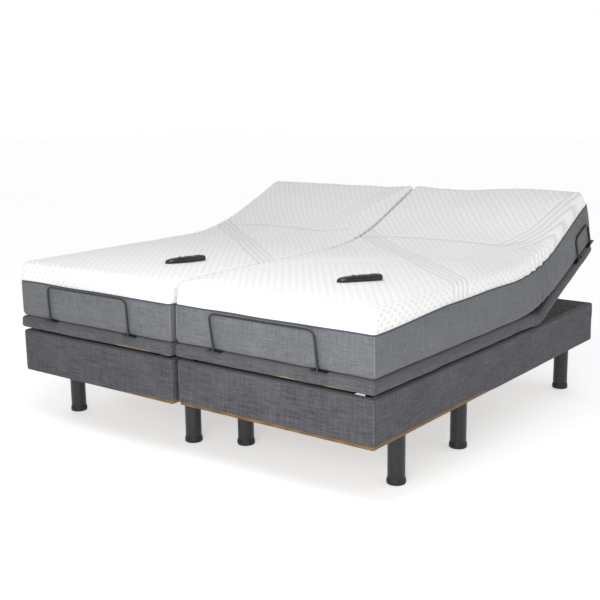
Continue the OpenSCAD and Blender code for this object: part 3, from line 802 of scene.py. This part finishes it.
# Stretches of the foot end where the deck cover's hem rides up, from the middle of a unit
HEM_LIFTS = {"left": ((0.15, 0.36), (0.43, 0.49)), "right": ((0.04, 0.15), (0.26, 0.42))}
# How far it rides up there, and hangs down elsewhere
HEM_UP, HEM_DOWN = 0.0035, 0.0010


def lifted_hem(p, unit):
    """Where the hem of the deck cover rides up and shows the board's edge."""
    x = p[:, 0] - unit.x
    lift = sum(smoothstep((x - a) / 0.02) * smoothstep((b - x) / 0.02)
               for a, b in HEM_LIFTS[unit.side])
    return lift * smoothstep((unit.foot_y + 0.05 - p[:, 1]) / 0.03)


def build_deck(unit):
    """The padded cover of the deck's boards, with a welt at each corner."""
    low = np.array([unit.x - unit.half_w, unit.foot_y, unit.deck_low + 0.0012])
    high = np.array([unit.x + unit.half_w, unit.head_end, unit.deck_top - 0.0005])
    xs = grid_lines(low[0], high[0], DECK_EDGE, DECK_FINE, DECK_ACROSS)
    ys = grid_lines(low[1], high[1], DECK_EDGE, DECK_FINE, DECK_ALONG)
    points, faces, index = lattice(xs, ys, steps(low[2], high[2], DECK_UP))
    level = points[:, 2].copy()
    radius = DECK_HEM_R + (DECK_R - DECK_HEM_R) * smoothstep((level - low[2]) / (high[2] - low[2]))
    shaped = rounded(points, low, high, radius)
    pinned = np.where(level < low[2] + 0.002, 1.0, 0.0)
    pinned = np.maximum(pinned, np.where(shaped[:, 2] > high[2] - 0.001, 0.8, 0.0))
    shaped = swelled(shaped, faces, pinned, 4.0, 0.004)
    shaped, faces = subdivided(shaped, faces)
    normals = vertex_normals(shaped, faces)
    side = np.clip(np.abs(normals[:, 0]) - 0.2, 0, 1)
    near = np.exp(-((shaped[:, 1] - unit.head_y + 0.01) / 0.09) ** 2)
    wave = np.sin(2 * math.pi * shaped[:, 1] / 0.034 + 3 * ripple(shaped, 0.2, unit.seed + 3))
    relief = 0.0032 * near * side * wave + 0.0011 * ripple(shaped, 0.16, unit.seed + 4)
    shaped = shaped + normals * relief[:, None]
    # the lower edge of the cover rides up in places
    hem = smoothstep(1 - (shaped[:, 2] - low[2]) / 0.012)
    shaped[:, 2] += hem * (HEM_UP * lifted_hem(shaped, unit) - HEM_DOWN)
    bend = Bend(unit, unit.deck_top - unit.hinge_z, **DECK_ZONES)
    bent = bend.unbendable(shaped)
    bending_pieces("deck_pad", bend, shaped, bent, faces, MATERIALS["deck_linen"],
                   soft_nodes("pad", unit.side))
    # Corner welts in lighter linen: partly real seams, partly a painted highlight up each corner.
    for number, column in enumerate(index[[0, -1, 0, -1], [0, 0, -1, -1]]):
        body = ("foot_" if number < 2 else "head_") + unit.side
        welt(f"deck_seam_highlight_{number}_{unit.side}", bent[column[1:-1]], DECK_SEAM_R,
             MATERIALS["deck_welt_painted_highlight"], body)


# ---------------------------------------------------------------- upholstered box

LINING_ROWS = 6
BOX_R, BOX_EDGE_R, BOX_HEM_R = 0.022, 0.009, 0.004
BOX_SEAM_R, BOX_SEAM_SUNK = 0.0034, 0.0014


def build_box(unit):
    """Fabric stretched over the box: round corners, soft top edge, tucked in below."""
    low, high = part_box("box_covers")
    half = np.array([unit.half_w, unit.length / 2]) - 0.001
    centre = np.array([unit.x, (unit.foot_y + unit.head_end) / 2])
    corner = np.linspace(0, math.pi / 2, 7)
    outline, way = [], []
    for turn in range(4):
        sx, sy = ((1, -1), (1, 1), (-1, 1), (-1, -1))[turn]
        for angle in corner + (turn - 1) * math.pi / 2:
            n = np.array([math.cos(angle), math.sin(angle)])
            outline.append(np.array([sx, sy]) * (half - BOX_R) + BOX_R * n)
            way.append(n)
    ring, normal = [], []
    for n in range(len(outline)):
        a, b = outline[n], outline[(n + 1) % len(outline)]
        count = max(1, int(np.linalg.norm(b - a) / 0.012))
        for k in range(count):
            t = k / count
            ring.append(a + (b - a) * t)
            w = way[n] * (1 - t) + way[(n + 1) % len(way)] * t
            normal.append(w / np.linalg.norm(w))
    ring, normal = np.array(ring), np.array(normal)
    # profile as (inset, height): tucked under, round lower edge, side, round top edge, lining
    bottom, top = low.z + 0.0005, high.z + 0.001
    arc = np.linspace(0, math.pi / 2, 5)
    profile = [(0.012, bottom + 0.002), (0.005, bottom)]
    profile += [(BOX_HEM_R * (1 - math.sin(a)), bottom + BOX_HEM_R * (1 - math.cos(a)))
                for a in arc[1:]]
    profile += [(0.0, z) for z in steps(bottom + 0.012, top - BOX_EDGE_R - 0.006, 0.012)]
    profile += [(BOX_EDGE_R * (1 - math.cos(a)), top - BOX_EDGE_R * (1 - math.sin(a)))
                for a in arc]
    profile += [(0.018, top), (0.0265, top - 0.0005), (0.0285, top - 0.003)]
    profile += [(0.0290, z) for z in np.linspace(top - 0.010, top - 0.16, LINING_ROWS)]
    rows = []
    for inset, height in profile:
        plan = centre + ring - normal * inset
        rows.append(np.column_stack([plan, np.full(len(ring), height)]))
    points = np.concatenate(rows)
    faces = ring_quads(len(profile), len(ring))
    normals = vertex_normals(points, faces)
    middle = smoothstep((points[:, 2] - bottom) / 0.03) * smoothstep((top - points[:, 2]) / 0.02)
    pull = 0.0012 * ripple(points * [1, 1, 3.0], 0.30, unit.seed + 5)
    sag = -0.0016 * middle * (0.5 + 0.5 * ripple(points, 0.8, unit.seed + 6))
    points = points + normals * (pull * (0.3 + middle) + sag)[:, None]
    points[:, 2] += box_hem(points, unit) * smoothstep(1 - (points[:, 2] - bottom) / 0.05)
    piece = make_mesh("box_upholstery_" + unit.side, points, faces, MATERIALS["box_linen"])
    # The lining faces get the lighter lining material: painted light inside the box.
    piece.data.materials.append(MATERIALS["box_lining_painted_light"])
    lined = (len(profile) - LINING_ROWS - 1) * len(ring)
    for polygon in piece.data.polygons[lined:]:
        polygon.material_index = 1
    store(piece, {"cloth": box_cloth(points, normals)})
    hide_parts("box_covers")
    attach(piece, "base")
    # Corner welts in lighter linen: partly real seams, partly a painted highlight up each corner.
    out = half - BOX_R * (1 - math.sqrt(0.5)) - BOX_SEAM_SUNK
    for number, (sx, sy) in enumerate(((1, -1), (1, 1), (-1, 1), (-1, -1))):
        place = centre + np.array([sx, sy]) * out
        line = [(*place, z) for z in steps(bottom + 0.006, top - 0.008, 0.02)]
        welt(f"box_seam_highlight_{number}_{unit.side}", line, BOX_SEAM_R, MATERIALS["box_welt_painted_highlight"],
             "base")


def box_hem(p, unit):
    """How far the hem is above the cover's own: lower, it hides the boards' edge.

    It does so on most of the left unit, and on the right unit's outer side past the middle."""
    wave = 0.0012 * ripple(p * [1, 1, 0], 0.45, unit.seed + 9)
    if unit.side == "right":
        beyond = smoothstep((p[:, 0] - unit.x - 0.44) / 0.03) * smoothstep((p[:, 1] + 0.20) / 0.16)
        return 0.0055 + wave - (0.0120 + wave) * beyond
    return -0.0065 + (0.011 + wave) * smoothstep((p[:, 0] - unit.x - 0.12) / 0.16)


def box_cloth(points, normals):
    """Cloth coordinates for the box: round it, and up it."""
    out = np.zeros_like(points)
    out[:, 0] = points[:, 0] + points[:, 1]
    out[:, 1] = points[:, 2] + np.where(np.abs(normals[:, 2]) > 0.7,
                                        points[:, 0] - points[:, 1], 0) * 0.7
    return out


# ---------------------------------------------------------------- handsets

WAND_W = 0.044
# How far the wand reaches past the outermost keys, at its near and far end
WAND_NEAR, WAND_FAR = 0.067, 0.037
# Its section is a rounded rectangle of this power, with so many sides, in so many rows
WAND_POWER, WAND_SIDES, WAND_ROWS = 2.9, 28, 44
# Lengths of its round and square ends in widths, and how thick it starts at its near end
WAND_ROUND, WAND_SQUARE, WAND_THIN = 0.95, 0.30, 0.76


def circle_through(a, b, c):
    """Centre and radius of the circle through three points of a plane."""
    rows = np.array([b - a, c - a])
    middle = np.linalg.solve(2 * rows, (rows * np.array([a + b, a + c])).sum(axis=1))
    return middle, np.linalg.norm(a - middle)


def key_place(side, key):
    low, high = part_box(f"{key}_key_{side}")
    return np.array([(low.x + high.x) / 2, (low.y + high.y) / 2])


def build_handset(unit):
    """A curved wand along the arc of its three keys: a round near end and a squarer far end."""
    near, mid, far = (key_place(unit.side, key) for key in ("flat", "foot", "head"))
    middle, radius = circle_through(near, mid, far)
    start, end = (math.atan2(*(p - middle)[::-1]) for p in (near, far))
    start, end = start - WAND_NEAR / radius, end + WAND_FAR / radius
    low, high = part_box("handset_" + unit.side)
    length = (end - start) * radius
    angle = np.linspace(0, 2 * math.pi, WAND_SIDES, endpoint=False)
    c, s = np.cos(angle), np.sin(angle)
    bulge = 2 / WAND_POWER
    across = np.sign(c) * np.abs(c) ** bulge
    up = 0.5 + 0.5 * np.sign(s) * np.abs(s) ** bulge
    rows = []
    for t in 0.5 - 0.5 * np.cos(np.linspace(0.06, math.pi - 0.06, WAND_ROWS)):
        d = t * length
        near_cap = (1 - min(1, max(0, 1 - d / (WAND_ROUND * WAND_W))) ** 2.2) ** 0.5
        left = length - d
        far_cap = (1 - min(1, max(0, 1 - left / (WAND_SQUARE * WAND_W))) ** 3.0) ** 0.4
        full = near_cap * far_cap
        way = start + t * (end - start)
        reach = radius + across * full * WAND_W / 2
        arch = WAND_THIN + (1 - WAND_THIN) * math.sin(math.pi / 2 * min(1.0, t / 0.5))
        thick = (high.z - low.z) * full ** 0.45 * arch
        rows.append(np.column_stack([middle[0] + reach * math.cos(way),
                                     middle[1] + reach * math.sin(way),
                                     low.z + 0.0004 + up * thick]))
    points = np.concatenate(rows)
    caps = [list(range(WAND_SIDES)), list(range(len(points) - WAND_SIDES, len(points)))[::-1]]
    faces = ring_quads(len(rows), WAND_SIDES)[:, ::-1].tolist() + caps
    piece = make_mesh("handset_shell_" + unit.side, points, faces, MATERIALS["handset_plastic"])
    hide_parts("handset_" + unit.side)
    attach(piece, "foot_" + unit.side)


for unit in UNITS.values():
    build_mattress(unit)
    build_deck(unit)
    build_box(unit)
    build_handset(unit)


# ---------------------------------------------------------------- stage, light and camera

FLOOR_HALF = 30.0


def build_stage():
    """A pale floor that gives a little light of its own, so that it meets the background."""
    floor = bpy.data.meshes.new("floor")
    corners = [(FLOOR_HALF * x, FLOOR_HALF * y, 0) for x, y in ((-1, -1), (1, -1), (1, 1), (-1, 1))]
    floor.from_pydata(corners, [], [(0, 1, 2, 3)])
    piece = bpy.data.objects.new("floor", floor)
    scene.collection.objects.link(piece)
    m = Shader("floor")
    m.set(Base_Color=(0.80, 0.80, 0.80), Roughness=0.8, Emission_Color=(1.0, 1.0, 1.0),
          Emission_Strength=0.50)
    floor.materials.append(m.material)


def area_light(name, place, target, size, power):
    data = bpy.data.lights.new(name, "AREA")
    data.shape = "RECTANGLE"
    data.size, data.size_y = size
    data.energy = power
    lamp = bpy.data.objects.new(name, data)
    lamp.location = place
    lamp.rotation_euler = (Vector(target) - Vector(place)).to_track_quat("-Z", "Y").to_euler()
    scene.collection.objects.link(lamp)


# The studio's brightness: (from, to) of the direction's height or depth, then at each of them
SKY_HEIGHT = (0.15, 1.0, 1.0, 0.54)
SKY_DEPTH = (-0.3, 0.5, 0.62, 1.0)


def build_lights():
    """A white studio, brightest low behind the bed, with a key, a top and a weak side light."""
    world = bpy.data.worlds.new("studio")
    scene.world = world
    world.use_nodes = True
    tree = world.node_tree
    background = tree.nodes["Background"]
    place = tree.nodes.new("ShaderNodeTexCoord")
    parts = tree.nodes.new("ShaderNodeSeparateXYZ")
    both = tree.nodes.new("ShaderNodeMath")
    both.operation = "MULTIPLY"
    tree.links.new(place.outputs["Generated"], parts.inputs[0])
    for number, (axis, fade) in enumerate(((2, SKY_HEIGHT), (1, SKY_DEPTH))):
        shade = tree.nodes.new("ShaderNodeMapRange")
        for key, value in enumerate(fade, 1):
            shade.inputs[key].default_value = value
        tree.links.new(parts.outputs[axis], shade.inputs[0])
        tree.links.new(shade.outputs[0], both.inputs[number])
    tree.links.new(both.outputs[0], background.inputs["Color"])
    background.inputs["Strength"].default_value = 1.0
    area_light("key", (1.5, -3.3, 1.2), (0.6, -1.0, 0.5), (1.8, 1.3), 46)
    area_light("side", (3.6, 0.6, 1.2), (0.9, 0.2, 0.6), (2.6, 1.2), 4)
    area_light("top", (0.4, -1.7, 2.7), (0.2, -0.9, 0.7), (1.6, 1.2), 25)
    scene.view_settings.view_transform = "Standard"


# The camera stands to the right of the foot end, level with a standing viewer's waist
CAMERA_PLACE = (2.7644, -3.7388, 1.4575)
CAMERA_YAW, CAMERA_PITCH, CAMERA_ROLL = 0.6573, 0.2015, -0.0132
CAMERA_LENS = 58.72


def build_camera():
    data = bpy.data.cameras.new("camera")
    data.lens = CAMERA_LENS
    data.sensor_width = 36.0
    camera = bpy.data.objects.new("camera", data)
    yaw, pitch, roll = CAMERA_YAW, CAMERA_PITCH, CAMERA_ROLL
    ahead = Vector((-math.sin(yaw) * math.cos(pitch), math.cos(yaw) * math.cos(pitch),
                    -math.sin(pitch)))
    right = Vector((math.cos(yaw), math.sin(yaw), 0))
    up = right.cross(ahead)
    right, up = (math.cos(roll) * right + math.sin(roll) * up,
                 -math.sin(roll) * right + math.cos(roll) * up)
    columns = Matrix((right, up, -ahead)).transposed()
    camera.matrix_world = Matrix.Translation(CAMERA_PLACE) @ columns.to_4x4()
    scene.collection.objects.link(camera)
    scene.camera = camera


build_stage()
build_lights()
build_camera()
